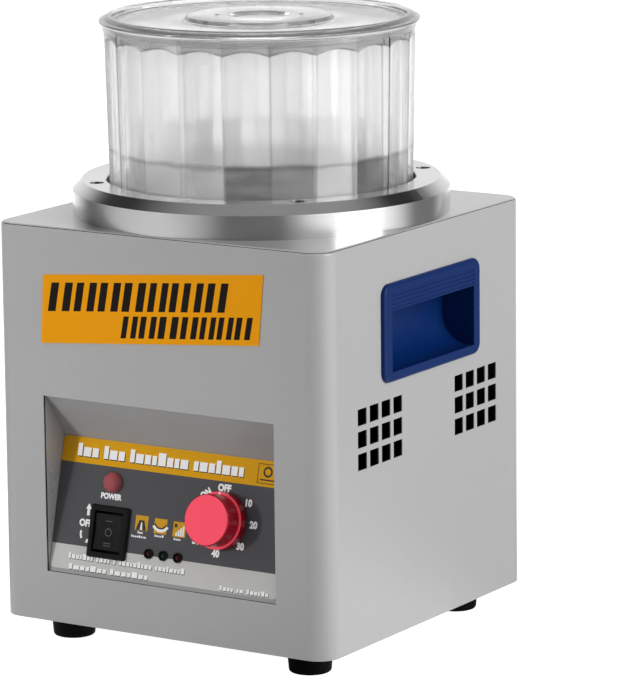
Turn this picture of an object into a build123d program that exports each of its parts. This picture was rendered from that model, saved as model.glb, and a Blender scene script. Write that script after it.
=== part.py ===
"""Magnetic tumbler: a motor turns a disc of magnets under a clear bowl that stands on a painted cabinet.

Millimetres. X is across the front, Y runs to the back and Z up. The origin is on the floor, under the
middle of the machine.
"""

import os
from math import atan, cos, degrees, pi, radians, sin, tan

from build123d import *

# ---- driving dimensions -------------------------------------------------------------------------------

# Cabinet
body_w = 250.0
body_d = 250.0
body_bottom = 17.0
body_top = 275.5
body_corner_r = 15.0
body_edge_r = 2.5
sheet = 2.0
base_flange = 12.0
base_screw_half = 60.0
base_screw_hole_r = 2.2
base_screw_r = 2.0
m5_hole_r = 2.75
m6_hole_r = 3.2

# Feet
foot_inset = 34.0
foot_top_r = 15.0
foot_bottom_r = 13.5

# Control recess: the panel leans back, and a slope above it comes forward again
recess_half_w = 87.5
recess_bottom = 50.0
recess_bend = 136.0
recess_top = 165.5
recess_sheet = 1.5
recess_flange = 8.0
panel_lean = 13.4
overlay_t = 0.5
overlay_rise = 1.1
overlay_corner_r = 3.0

# Places on the panel: across, and up the slope from its foot
timer_at = (40.0, 46.8)
switch_at = (-44.0, 29.5)
lamp_at = (-45.0, 61.6)
led_at = [(-12.0, 19.7), (-0.9, 19.7), (10.2, 19.7)]

# Handles and vents on both sides
handle_y = 2.0
handle_w = 120.0
handle_bottom = 182.0
handle_top = 245.0
handle_proud = 3.0
grip_half_w = 51.0
grip_bottom = 188.5
grip_top = 227.5
grip_depth = 21.0
grip_curve_r = 20.0
groove_depth = 0.4
grip_undercut = 8.0
grip_wall = 2.0
vent_hole = 10.6
vent_pitch = 14.3
vent_group_y = 59.6
vent_z = 151.5

# Collar, bowl and lid
collar_r = 122.2
collar_top_r = 116.0
collar_bore_r = 100.0
collar_side_h = 15.5
collar_h = 21.75
collar_screw_r = 108.0
flutes = 21
flute_phase = -2.2
flute_depth = 2.4
flute_cut_r = 70.0
flute_spring = 387.3
flute_arch = 390.3
bowl_r_bottom = 98.0
bowl_r_top = 100.3
bowl_inner_r = 92.5
bowl_rim_z = 397.0
bowl_floor_t = 8.5
bowl_cone_r = 25.0
bowl_cone_h = 19.0
shoulder_z = 393.2
rim_r = 98.9
lid_skirt_bottom = 393.7
lid_skirt_r = 101.2
lid_tip_r = 103.4
lid_top = 403.0
lid_t = 3.0
lid_boss_r = 47.0
lid_dish_r = 20.0

# Magnet disc and motor
rotor_r = 86.0
rotor_t = 14.0
rotor_gap = 2.5
magnet_l, magnet_w, magnet_t = 36.0, 20.0, 10.0
magnet_ring_r = 58.0
magnet_play = 0.1
shaft_end_r = 6.0
shaft_bearing_r = 7.5
shaft_core_r = 9.0
running_gap = 0.03
motor_r = 58.0
motor_plate_z = 222.0
motor_plate_t = 4.0
bell_h = 40.0
stator_h = 60.0
bell_wall = 4.0
bell_end_t = 6.0
bearing_r = 17.5
bearing_w = 11.0
motor_bolt_r = 51.5
pillar_at = [(x, y) for x in (-82.0, 82.0) for y in (-72.0, 72.0)]
pillar_r = 6.0

# Rear fittings
inlet_at = (-50.0, 58.0)
fuse_at = (-5.0, 58.0)

# ---- derived levels and planes ------------------------------------------------------------------------

half_w = body_w / 2
half_d = body_d / 2
base_top = body_bottom + sheet
top_under = body_top - sheet
collar_top = body_top + collar_h
bowl_floor = body_top + bowl_floor_t
rotor_top = top_under - rotor_gap
rotor_bottom = rotor_top - rotor_t
bell_top = motor_plate_z
stator_top = bell_top - bell_h
stator_bottom = stator_top - stator_h
bell_bottom = stator_bottom - bell_h
plate_top = motor_plate_z + motor_plate_t
foot_x = half_w - foot_inset
foot_y = half_d - foot_inset
foot_at = [(x, y) for x in (-foot_x, foot_x) for y in (-foot_y, foot_y)]
edge_at = half_w - sheet - base_flange / 2
base_screw_at = [(x, y) for x in (-base_screw_half, base_screw_half) for y in (-edge_at, edge_at)]
base_screw_at += [(x, y) for x in (-edge_at, edge_at) for y in (-base_screw_half, base_screw_half)]

front_plane = Plane(origin=(0, -half_d, 0), x_dir=(1, 0, 0), z_dir=(0, -1, 0))
rear_plane = Plane(origin=(0, half_d, 0), x_dir=(-1, 0, 0), z_dir=(0, 1, 0))
right_plane = Plane(origin=(half_w, 0, 0), x_dir=(0, 1, 0), z_dir=(1, 0, 0))
recess_front = sheet - half_d
lean = radians(panel_lean)
panel_out = (0, -cos(lean), sin(lean))
panel_plane = Plane(origin=(0, recess_front, recess_bottom), x_dir=(1, 0, 0), z_dir=panel_out)
panel_length = (recess_bend - recess_bottom) / cos(lean)
bend_y = recess_front + (recess_bend - recess_bottom) * tan(lean)


def on_panel(place, out=0.0):
    """A plane parallel to the control panel, centred on a place of it, out in front of its metal face."""
    return Plane(origin=panel_plane.from_local_coords((*place, out)), x_dir=(1, 0, 0), z_dir=panel_out)


def facing_down(z):
    """A level plane whose normal points down."""
    return Plane(origin=(0, 0, z), x_dir=(1, 0, 0), z_dir=(0, 0, -1))


def on_rear(place, out=0.0):
    """A plane parallel to the back wall, centred on (x, z), out behind its outer face."""
    return Plane(origin=(place[0], half_d + out, place[1]), x_dir=(-1, 0, 0), z_dir=(0, 1, 0))


def polar(radius, angle):
    """A point in the plane, from its radius and its angle in degrees."""
    return radius * cos(radians(angle)), radius * sin(radians(angle))


def turned(*points):
    """A solid of revolution about the Z axis, from (radius, height) points in order."""
    with BuildPart() as solid:
        with BuildSketch(Plane.XZ):
            with BuildLine():
                Polyline(*points, close=True)
            make_face()
        revolve(axis=Axis.Z)
    return solid


def tubes(plane, outer_r, inner_r, height, places=((0, 0),)):
    """Round tubes, or plain discs with inner_r 0, standing on a plane."""
    with BuildPart() as solid:
        with BuildSketch(plane):
            with Locations(*places):
                Circle(outer_r)
                if inner_r:
                    Circle(inner_r, mode=Mode.SUBTRACT)
        extrude(amount=height)
    return solid


def screws(plane, places, shank_r, length, head_r, head_h, drive_r):
    """Socket screws: the heads stand on the plane and the shanks go down through it."""
    with BuildPart() as solid:
        with BuildSketch(plane):
            with Locations(*places):
                Circle(head_r)
        extrude(amount=head_h)
        with BuildSketch(plane):
            with Locations(*places):
                Circle(shank_r)
        extrude(amount=-length)
        with BuildSketch(plane.offset(head_h)):
            with Locations(*places):
                RegularPolygon(drive_r, 6)
        extrude(amount=-0.55 * head_h, mode=Mode.SUBTRACT)
    return solid


def nuts(plane, places, bore_r, flat_r, height):
    """Hexagon nuts standing on a plane; flat_r is half the width across the flats."""
    with BuildPart() as solid:
        with BuildSketch(plane):
            with Locations(*places):
                RegularPolygon(flat_r, 6, major_radius=False)
                Circle(bore_r, mode=Mode.SUBTRACT)
        extrude(amount=height)
    return solid


pieces = {}

# ---- cabinet ------------------------------------------------------------------------------------------

vent_places = [
    (group + (column - 1.5) * vent_pitch, vent_z + (row - 1) * vent_pitch)
    for group in (-vent_group_y, vent_group_y)
    for column in range(4)
    for row in range(3)
]
collar_screw_at = [polar(collar_screw_r, angle) for angle in (45, 135, 225, 315)]
grip_cut_h = grip_top + grip_undercut - grip_bottom + 2 * grip_wall + 0.6
grip_cut_z = (grip_top + grip_undercut + grip_bottom) / 2

with BuildPart() as housing:
    with BuildSketch(Plane.XY.offset(body_bottom)):
        RectangleRounded(body_w, body_d, body_corner_r)
    extrude(amount=body_top - body_bottom)
    fillet(housing.faces().sort_by(Axis.Z)[-1].edges(), body_edge_r)
    # The hollow, then the opening of the base, which leaves a folded flange round its edge
    with BuildSketch(Plane.XY.offset(base_top + sheet)):
        RectangleRounded(body_w - 2 * sheet, body_d - 2 * sheet, body_corner_r - sheet)
    extrude(amount=top_under - base_top - sheet, mode=Mode.SUBTRACT)
    with BuildSketch(Plane.XY.offset(base_top)):
        rim = 2 * (sheet + base_flange)
        Rectangle(body_w - rim, body_d - rim)
    extrude(amount=sheet, mode=Mode.SUBTRACT)
    with BuildSketch(Plane.XY.offset(body_bottom)):
        RectangleRounded(body_w - 2 * sheet, body_d - 2 * sheet, body_corner_r - sheet)
    extrude(amount=sheet, mode=Mode.SUBTRACT)
    # Front opening
    with BuildSketch(front_plane):
        with Locations((0, (recess_bottom + recess_top) / 2)):
            Rectangle(2 * recess_half_w, recess_top - recess_bottom)
    extrude(amount=-sheet, mode=Mode.SUBTRACT)
    # Handle openings and vents, right through both sides
    with BuildSketch(right_plane):
        with Locations((handle_y, grip_cut_z)):
            Rectangle(2 * (grip_half_w + grip_wall) + 0.6, grip_cut_h)
        with Locations(*vent_places):
            Rectangle(vent_hole, vent_hole)
    extrude(amount=-body_w, mode=Mode.SUBTRACT)
    # Rear openings
    with BuildSketch(on_rear(inlet_at)):
        Rectangle(28.6, 20.6)
        with Locations((-20, 0), (20, 0)):
            Circle(1.6)
    extrude(amount=-sheet, mode=Mode.SUBTRACT)
    with BuildSketch(on_rear(fuse_at)):
        Circle(6.2)
    extrude(amount=-sheet, mode=Mode.SUBTRACT)
    # Screw holes for the collar and the base
    with BuildSketch(Plane.XY.offset(body_top)):
        with Locations(*collar_screw_at):
            Circle(m5_hole_r)
    extrude(amount=-sheet, mode=Mode.SUBTRACT)
    with BuildSketch(Plane.XY.offset(base_top)):
        with Locations(*base_screw_at):
            Circle(base_screw_r)
    extrude(amount=sheet, mode=Mode.SUBTRACT)
pieces["housing"] = housing

with BuildPart() as base_plate:
    with BuildSketch(Plane.XY.offset(body_bottom)):
        RectangleRounded(body_w - 2 * sheet - 0.4, body_d - 2 * sheet - 0.4, body_corner_r - sheet)
        with Locations(*foot_at):
            Circle(m5_hole_r, mode=Mode.SUBTRACT)
        with Locations(*base_screw_at):
            Circle(base_screw_hole_r, mode=Mode.SUBTRACT)
        with Locations(*pillar_at):
            Circle(m6_hole_r, mode=Mode.SUBTRACT)
    extrude(amount=sheet)
pieces["base_plate"] = base_plate
pieces["base_screws"] = screws(facing_down(body_bottom), base_screw_at, 1.95, 6, 3.8, 1.4, 1.8)

# ---- feet ---------------------------------------------------------------------------------------------

foot_bore_depth = 10.0
with BuildPart() as feet:
    for x, y in foot_at:
        with BuildSketch(Plane(origin=(x, y, 0))):
            Circle(foot_bottom_r)
        with BuildSketch(Plane(origin=(x, y, body_bottom))):
            Circle(foot_top_r)
        loft()
    fillet(feet.faces().group_by(Axis.Z)[0].edges(), 2.0)
    with BuildSketch(Plane.XY):
        with Locations(*foot_at):
            Circle(6.0)
    extrude(amount=foot_bore_depth, mode=Mode.SUBTRACT)
    with BuildSketch(Plane.XY):
        with Locations(*foot_at):
            Circle(m5_hole_r)
    extrude(amount=body_bottom, mode=Mode.SUBTRACT)
pieces["feet"] = feet
pieces["foot_screws"] = screws(facing_down(foot_bore_depth), foot_at, 2.5, 14.5, 4.75, 3.5, 2.3)

# ---- collar, bowl and lid -----------------------------------------------------------------------------

with BuildPart() as collar_ring:
    with BuildSketch(Plane.XZ):
        with BuildLine():
            Polyline(
                (collar_bore_r, body_top),
                (collar_r, body_top),
                (collar_r, body_top + collar_side_h),
                (collar_top_r, collar_top),
                (collar_bore_r + 1, collar_top),
                (collar_bore_r, collar_top - 1),
                close=True,
            )
        make_face()
    revolve(axis=Axis.Z)
    with Locations(Plane.XY.offset(collar_top)):
        with Locations(*collar_screw_at):
            CounterBoreHole(radius=m5_hole_r, counter_bore_radius=4.7, counter_bore_depth=5.6)
pieces["collar_ring"] = collar_ring
pieces["collar_screws"] = screws(Plane.XY.offset(collar_top - 5.6), collar_screw_at, 2.5, 24, 4.25, 5.0, 2.3)


bowl_draft = degrees(atan((bowl_r_top - bowl_r_bottom) / (shoulder_z - body_top)))
flute_half_w = (bowl_r_top + 1) * sin(pi / flutes)
with BuildPart() as flute_cutter:
    with BuildSketch(Plane.XY.offset(body_top)):
        with Locations((bowl_r_bottom - flute_depth + flute_cut_r, 0)):
            Circle(flute_cut_r)
    extrude(amount=shoulder_z - body_top, taper=bowl_draft)
    # Seen from the side each flute is a window with an arched top
    with BuildSketch(Plane.YZ.offset(bowl_inner_r)):
        with BuildLine():
            Polyline((flute_half_w, flute_spring), (flute_half_w, body_top), (-flute_half_w, body_top))
            Line((-flute_half_w, body_top), (-flute_half_w, flute_spring))
            ThreePointArc((-flute_half_w, flute_spring), (0, flute_arch), (flute_half_w, flute_spring))
        make_face()
    extrude(amount=15, mode=Mode.INTERSECT)

with BuildPart() as bowl:
    with BuildSketch(Plane.XZ):
        with BuildLine():
            Polyline(
                (0, body_top),
                (bowl_r_bottom, body_top),
                (bowl_r_top, shoulder_z),
                (rim_r, shoulder_z),
                (rim_r, bowl_rim_z),
                (0, bowl_rim_z),
                close=True,
            )
        make_face()
    revolve(axis=Axis.Z)
    with PolarLocations(0, flutes, start_angle=flute_phase + 180 / flutes):
        add(flute_cutter.part, mode=Mode.SUBTRACT)
    # Round inside with a cone in the middle of its floor
    with BuildSketch(Plane.XZ):
        with BuildLine():
            Polyline(
                (0, bowl_rim_z),
                (0, bowl_floor + bowl_cone_h),
                (2.5, bowl_floor + bowl_cone_h - 0.6),
                (bowl_cone_r, bowl_floor),
                (bowl_inner_r - 6, bowl_floor),
            )
            RadiusArc((bowl_inner_r - 6, bowl_floor), (bowl_inner_r, bowl_floor + 6), -6)
            Polyline((bowl_inner_r, bowl_floor + 6), (bowl_inner_r, bowl_rim_z), (0, bowl_rim_z))
        make_face()
    revolve(axis=Axis.Z, mode=Mode.SUBTRACT)
pieces["bowl"] = bowl

lid_panel = lid_top - 3.5
lid_seat = bowl_rim_z
with BuildPart() as lid:
    with BuildSketch(Plane.XZ):
        with BuildLine():
            Polyline(
                (0, lid_panel - lid_t),
                (lid_boss_r - 2, lid_panel - lid_t + 1.5),
                (lid_boss_r + 2, lid_panel - lid_t),
                (88, lid_panel - lid_t),
                (88, lid_seat - 6),
                (90, lid_seat - 6),
                (91.5, lid_seat),
                (lid_skirt_r - 1.9, lid_seat),
                (lid_skirt_r - 1.9, lid_skirt_bottom),
                (lid_skirt_r, lid_skirt_bottom),
                (lid_skirt_r + 0.2, lid_seat + 0.4),
                (lid_tip_r, lid_top - 4.2),
                (lid_tip_r, lid_top - 2.8),
                (98.0, lid_top),
                (95.4, lid_top),
                (94.4, lid_panel),
                (lid_boss_r + 1, lid_panel),
                (lid_boss_r, lid_panel + 2.5),
                (lid_dish_r, lid_panel + 2.5),
                (lid_dish_r - 1.5, lid_panel + 0.8),
                (0, lid_panel + 0.8),
                close=True,
            )
        make_face()
    revolve(axis=Axis.Z)
    # Two small vent holes beside the dish
    with BuildSketch(Plane.XY.offset(lid_top)):
        with Locations(polar(27, 32), polar(27, 212)):
            Circle(1.5)
    extrude(amount=-12, mode=Mode.SUBTRACT)
pieces["lid"] = lid

# ---- front label --------------------------------------------------------------------------------------

with BuildPart() as front_label:
    with BuildSketch(front_plane):
        with BuildLine():
            Polyline((-87.4, 200.1), (77.4, 214.0), (81.3, 258.7), (-84.9, 244.5), close=True)
        make_face()
    extrude(amount=0.8)
pieces["front_label"] = front_label

# ---- control recess and what is in it -----------------------------------------------------------------

timer_body_r = 22.0
timer_body_l = 30.0
timer_bush_r = 4.8
timer_shaft_r = 3.0
switch_w, switch_h = 29.5, 34.0
switch_body_w, switch_body_h = 25.6, 30.6
paddle_slot_w, paddle_slot_h = 22.2, 26.6
lamp_body_r = 5.0
led_r = 2.5
led_bezel_r = 3.1

recess_outline = [(recess_front, recess_bottom), (bend_y, recess_bend), (recess_front, recess_top)]
with BuildPart() as control_recess:
    with BuildSketch(Plane.YZ):
        with BuildLine():
            Polyline(*recess_outline, close=True)
        make_face()
        offset(amount=recess_sheet, kind=Kind.INTERSECTION)
    extrude(amount=recess_half_w + recess_sheet, both=True)
    with BuildSketch(Plane.YZ):
        with BuildLine():
            Polyline(*recess_outline, close=True)
        make_face()
    extrude(amount=recess_half_w, both=True, mode=Mode.SUBTRACT)
    # The flange that lies behind the cabinet's front, then everything in front of it goes
    with BuildSketch(front_plane.offset(-sheet)):
        with Locations((0, (recess_bottom + recess_top) / 2)):
            Rectangle(2 * (recess_half_w + recess_flange), recess_top - recess_bottom + 2 * recess_flange)
            Rectangle(2 * recess_half_w, recess_top - recess_bottom, mode=Mode.SUBTRACT)
    extrude(amount=-recess_sheet)
    with BuildSketch(front_plane.offset(-sheet)):
        with Locations((0, 110)):
            Rectangle(body_w, body_w)
    extrude(amount=10, mode=Mode.SUBTRACT)
    # Holes in the panel
    with BuildSketch(panel_plane.offset(1)):
        with Locations(timer_at):
            Circle(timer_bush_r + 0.2)
        with Locations(switch_at):
            Rectangle(switch_body_w + 0.4, switch_body_h + 0.4)
        with Locations(lamp_at):
            Circle(lamp_body_r + 0.2)
        with Locations(*led_at):
            Circle(led_bezel_r + 0.05)
    extrude(amount=-5, mode=Mode.SUBTRACT)
pieces["control_recess"] = control_recess

with BuildPart() as panel_overlay:
    with BuildSketch(panel_plane):
        with Locations((0, panel_length / 2 + overlay_rise)):
            RectangleRounded(2 * recess_half_w - 1, panel_length - 2.8, overlay_corner_r)
        with Locations(timer_at):
            Circle(timer_bush_r + 0.2, mode=Mode.SUBTRACT)
        with Locations(switch_at):
            Rectangle(switch_body_w + 0.4, switch_body_h + 0.4, mode=Mode.SUBTRACT)
        with Locations(lamp_at):
            Circle(lamp_body_r + 0.2, mode=Mode.SUBTRACT)
        with Locations(*led_at):
            Circle(led_bezel_r + 0.05, mode=Mode.SUBTRACT)
    extrude(amount=overlay_t)
pieces["panel_overlay"] = panel_overlay

# Timer: the bush comes through the panel and a nut clamps it; the shaft turns in the bush
behind = -recess_sheet
with BuildPart() as timer_body:
    with BuildSketch(on_panel(timer_at, behind)):
        Circle(timer_body_r)
    extrude(amount=-timer_body_l)
    with BuildSketch(on_panel(timer_at, behind)):
        Circle(timer_bush_r)
    extrude(amount=7.0)
    with BuildSketch(on_panel(timer_at, behind - timer_body_l)):
        with Locations((-12, 0), (12, 0)):
            Rectangle(0.8, 6.3)
    extrude(amount=-8)
    with BuildSketch(on_panel(timer_at, behind + 7.0)):
        Circle(timer_shaft_r + running_gap)
    extrude(amount=-27.0, mode=Mode.SUBTRACT)
pieces["timer_body"] = timer_body
pieces["timer_nut"] = nuts(on_panel(timer_at, overlay_t), [(0, 0)], timer_bush_r + 0.05, 6.5, 2.4)
pieces["timer_shaft"] = tubes(on_panel(timer_at, -20.0), timer_shaft_r, 0, 36.0)

knob_flange_r = 18.8
knob_r = 16.3
knob_base = 1.5
knob_step = 6.8
knob_front = 19.2
with BuildPart() as timer_knob:
    with BuildSketch(on_panel(timer_at, knob_base)):
        Circle(knob_flange_r)
    extrude(amount=knob_step - knob_base, taper=6)
    with BuildSketch(on_panel(timer_at, knob_step)):
        Circle(knob_r + 0.4)
    extrude(amount=knob_front - knob_step, taper=1.5)
    front_face = timer_knob.faces().sort_by(Axis(on_panel(timer_at).origin, on_panel(timer_at).z_dir))[-1]
    fillet(front_face.edges(), 1.0)
    with BuildSketch(on_panel(timer_at, knob_base)):
        Circle(9.0)
    extrude(amount=4.5, mode=Mode.SUBTRACT)
    with BuildSketch(on_panel(timer_at, knob_base)):
        Circle(timer_shaft_r)
    extrude(amount=16.0 - knob_base, mode=Mode.SUBTRACT)
    # Threaded hole for the grub screw, across the barrel
    grub_plane = Plane(
        origin=on_panel(timer_at, 10.0).origin, x_dir=on_panel(timer_at).z_dir, z_dir=-panel_plane.y_dir
    )
    with BuildSketch(grub_plane):
        Circle(1.5)
    extrude(amount=24, mode=Mode.SUBTRACT)
pieces["timer_knob"] = timer_knob
with BuildPart() as knob_grub_screw:
    with BuildSketch(grub_plane.offset(timer_shaft_r)):
        Circle(1.5)
    extrude(amount=8)
    with BuildSketch(grub_plane.offset(timer_shaft_r + 8)):
        RegularPolygon(0.8, 6)
    extrude(amount=-3, mode=Mode.SUBTRACT)
pieces["knob_grub_screw"] = knob_grub_screw
with BuildPart() as knob_pointer:
    with BuildSketch(on_panel(timer_at, knob_step)):
        with Locations((0, 17.45)):
            Rectangle(1.3, 1.1)
    extrude(amount=0.3)
pieces["knob_pointer"] = knob_pointer

# Rocker switch: a bezel with a deep body, and a paddle on two stub pivots
pivot_out = -1.0
paddle_half_w = 10.2
with BuildPart() as switch_body:
    with BuildSketch(on_panel(switch_at, overlay_t)):
        RectangleRounded(switch_w, switch_h, 1.5)
    extrude(amount=2.6)
    top_edge = switch_body.faces().sort_by(Axis(on_panel(switch_at).origin, on_panel(switch_at).z_dir))[-1]
    chamfer(top_edge.edges(), 1.0)
    with BuildSketch(on_panel(switch_at, overlay_t)):
        Rectangle(switch_body_w, switch_body_h)
    extrude(amount=-26)
    with BuildSketch(on_panel(switch_at, overlay_t + 2.6)):
        Rectangle(paddle_slot_w, paddle_slot_h)
    extrude(amount=-11, mode=Mode.SUBTRACT)
    pivot_plane = Plane(origin=on_panel(switch_at, pivot_out).origin, x_dir=panel_out, z_dir=(1, 0, 0))
    with BuildSketch(pivot_plane):
        Circle(1.5 + running_gap)
    extrude(amount=12.3, both=True, mode=Mode.SUBTRACT)
pieces["switch_body"] = switch_body
with BuildPart() as switch_paddle:
    with BuildSketch(pivot_plane):
        with BuildLine():
            Polyline((-2.5, -11.1), (3.1, -11.6), (2.5, 0), (3.1, 11.6), (-2.5, 11.1), close=True)
        make_face()
    extrude(amount=paddle_half_w, both=True)
    with BuildSketch(pivot_plane):
        Circle(1.5)
    extrude(amount=12.2, both=True)
pieces["switch_paddle"] = switch_paddle
with BuildPart() as switch_terminals:
    with BuildSketch(on_panel(switch_at, overlay_t - 26)):
        with GridLocations(12, 9, 2, 3):
            Rectangle(0.8, 6.3)
    extrude(amount=-8)
pieces["switch_terminals"] = switch_terminals

# Pilot lamp
with BuildPart() as lamp_lens:
    with BuildSketch(on_panel(lamp_at, overlay_t)):
        Circle(6.6)
    extrude(amount=5.0)
    lens_top = lamp_lens.faces().sort_by(Axis(on_panel(lamp_at).origin, on_panel(lamp_at).z_dir))[-1]
    fillet(lens_top.edges(), 4.2)
pieces["lamp_lens"] = lamp_lens
pieces["lamp_body"] = tubes(on_panel(lamp_at, overlay_t), lamp_body_r, 0, -22)
pieces["lamp_nut"] = nuts(on_panel(lamp_at, behind), [(0, 0)], lamp_body_r + 0.05, 7.0, -3.0)

# Status lights, each pushed into a clip that goes through the panel
for place, side in zip(led_at, ("left", "middle", "right")):
    with BuildPart() as status_led:
        with BuildSketch(on_panel(place, -7)):
            Circle(led_r)
        extrude(amount=8.6)
        led_top = status_led.faces().sort_by(Axis(on_panel(place).origin, panel_plane.z_dir))[-1]
        fillet(led_top.edges(), 2.2)
    pieces[f"status_led_{side}"] = status_led
with BuildPart() as led_clips:
    with BuildSketch(panel_plane.offset(overlay_t)):
        with Locations(*led_at):
            Circle(led_bezel_r + 0.2)
    extrude(amount=1.0)
    with BuildSketch(panel_plane.offset(overlay_t)):
        with Locations(*led_at):
            Circle(led_bezel_r)
    extrude(amount=-6)
    with BuildSketch(panel_plane.offset(overlay_t + 1)):
        with Locations(*led_at):
            Circle(led_r + 0.02)
    extrude(amount=-8, mode=Mode.SUBTRACT)
pieces["led_clips"] = led_clips

# ---- side handles -------------------------------------------------------------------------------------

with BuildPart() as handle_right:
    with BuildSketch(right_plane):
        with Locations((handle_y, (handle_bottom + handle_top) / 2)):
            RectangleRounded(handle_w, handle_top - handle_bottom, 7.5)
    extrude(amount=handle_proud)
    fillet(handle_right.faces().sort_by(Axis.X)[-1].edges(), 2.2)
    with BuildSketch(right_plane):
        with Locations((handle_y, grip_cut_z)):
            Rectangle(2 * (grip_half_w + grip_wall), grip_cut_h - 0.6)
    extrude(amount=-grip_depth - grip_wall)
    # The pocket: flat at the back, curved up from its lower edge, and undercut behind the upper lip
    with BuildSketch(Plane.XZ.offset(-handle_y)):
        back_x = half_w - grip_depth
        with BuildLine():
            Polyline(
                (half_w + handle_proud, grip_bottom),
                (half_w + handle_proud, grip_top),
                (half_w - 6, grip_top),
                (half_w - 9, grip_top + grip_undercut),
                (back_x, grip_top + grip_undercut),
                (back_x, grip_bottom + grip_curve_r),
            )
            curve_end = (back_x + grip_curve_r, grip_bottom)
            RadiusArc((back_x, grip_bottom + grip_curve_r), curve_end, -grip_curve_r)
            Line(curve_end, (half_w + handle_proud, grip_bottom))
        make_face()
    extrude(amount=grip_half_w, both=True, mode=Mode.SUBTRACT)
    # Grooves across the lip, for grip
    with BuildSketch(right_plane.offset(handle_proud)):
        with Locations(*[(handle_y, grip_top + 1.9 + 2.7 * number) for number in range(4)]):
            Rectangle(2 * grip_half_w, 1.2)
    extrude(amount=-groove_depth, mode=Mode.SUBTRACT)
pieces["handle_right"] = handle_right
with BuildPart() as handle_left:
    mirror(handle_right.part, about=Plane.YZ)
pieces["handle_left"] = handle_left

# ---- magnet disc --------------------------------------------------------------------------------------

magnet_angles = [45 * number for number in range(8)]
hub_screw_at = [polar(22, 45 + 90 * number) for number in range(4)]
with BuildPart() as rotor_disc:
    with BuildSketch(Plane.XY.offset(rotor_bottom)):
        Circle(rotor_r)
    extrude(amount=rotor_t)
    chamfer(rotor_disc.edges().filter_by(GeomType.CIRCLE), 1.0)
    with BuildSketch(Plane.XY.offset(rotor_top)):
        with PolarLocations(magnet_ring_r, 8):
            Rectangle(magnet_l + 2 * magnet_play, magnet_w + 2 * magnet_play)
    extrude(amount=-magnet_t, mode=Mode.SUBTRACT)
    with BuildSketch(Plane.XY.offset(rotor_bottom)):
        with Locations(*hub_screw_at):
            Circle(2.5)
    extrude(amount=9, mode=Mode.SUBTRACT)
pieces["rotor_disc"] = rotor_disc
for pole, first in (("north", 0), ("south", 45)):
    with BuildPart() as magnets:
        with BuildSketch(Plane.XY.offset(rotor_top - magnet_t)):
            with PolarLocations(magnet_ring_r, 4, start_angle=first):
                Rectangle(magnet_l, magnet_w)
        extrude(amount=magnet_t)
    pieces[f"magnets_{pole}"] = magnets

hub_flange_t = 6.0
hub_boss_h = 20.0
with BuildPart() as rotor_hub:
    with BuildSketch(Plane.XY.offset(rotor_bottom)):
        Circle(30)
    extrude(amount=-hub_flange_t)
    with BuildSketch(Plane.XY.offset(rotor_bottom - hub_flange_t)):
        Circle(15)
    extrude(amount=-hub_boss_h)
    with BuildSketch(Plane.XY.offset(rotor_bottom)):
        Circle(shaft_end_r)
    extrude(amount=-hub_flange_t - hub_boss_h, mode=Mode.SUBTRACT)
    with BuildSketch(Plane.XY.offset(rotor_bottom)):
        with Locations(*hub_screw_at):
            Circle(m5_hole_r)
    extrude(amount=-hub_flange_t, mode=Mode.SUBTRACT)
    hub_grub_z = rotor_bottom - hub_flange_t - hub_boss_h / 2
    with BuildSketch(Plane.YZ):
        with Locations((0, hub_grub_z)):
            Circle(2.5)
    extrude(amount=20, mode=Mode.SUBTRACT)
pieces["rotor_hub"] = rotor_hub
hub_under = facing_down(rotor_bottom - hub_flange_t)
pieces["hub_screws"] = screws(hub_under, hub_screw_at, 2.5, hub_flange_t + 8, 4.25, 5.0, 2.3)
with BuildPart() as hub_grub_screw:
    with BuildSketch(Plane.YZ.offset(shaft_end_r)):
        with Locations((0, hub_grub_z)):
            Circle(2.5)
    extrude(amount=8)
    with BuildSketch(Plane.YZ.offset(shaft_end_r + 8)):
        with Locations((0, hub_grub_z)):
            RegularPolygon(1.4, 6)
    extrude(amount=-3.5, mode=Mode.SUBTRACT)
pieces["hub_grub_screw"] = hub_grub_screw

# ---- motor --------------------------------------------------------------------------------------------

motor_bolt_at = [polar(motor_bolt_r, 45 + 90 * number) for number in range(4)]
upper_seat = bell_top - bell_end_t
lower_seat = bell_bottom + bell_end_t
shaft_bottom = bell_bottom - 20
core_r = 31.5

pieces["motor_shaft"] = turned(
    (0, shaft_bottom),
    (shaft_bearing_r - running_gap, shaft_bottom),
    (shaft_bearing_r - running_gap, lower_seat + bearing_w + 1),
    (shaft_core_r, lower_seat + bearing_w + 1),
    (shaft_core_r, upper_seat - bearing_w - 1),
    (shaft_bearing_r - running_gap, upper_seat - bearing_w - 1),
    (shaft_bearing_r - running_gap, bell_top + 2),
    (shaft_end_r, bell_top + 2),
    (shaft_end_r, rotor_bottom),
    (0, rotor_bottom),
)
pieces["motor_armature"] = tubes(Plane.XY.offset(stator_bottom - 2), core_r, shaft_core_r, stator_h + 4)
with BuildPart() as motor_stator:
    with BuildSketch(Plane.XY.offset(stator_bottom)):
        Circle(motor_r)
        Circle(core_r + 0.5, mode=Mode.SUBTRACT)
        with Locations(*motor_bolt_at):
            Circle(2.7, mode=Mode.SUBTRACT)
    extrude(amount=stator_h)
pieces["motor_stator"] = motor_stator
with BuildPart() as motor_windings:
    for level, height in ((stator_top, 13), (stator_bottom, -13)):
        with BuildSketch(Plane.XY.offset(level)):
            Circle(46)
            Circle(core_r + 1.5, mode=Mode.SUBTRACT)
        extrude(amount=height)
    fillet(motor_windings.faces().sort_by(Axis.Z)[-1].edges(), 3.5)
    fillet(motor_windings.faces().sort_by(Axis.Z)[0].edges(), 3.5)
pieces["motor_windings"] = motor_windings


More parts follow.
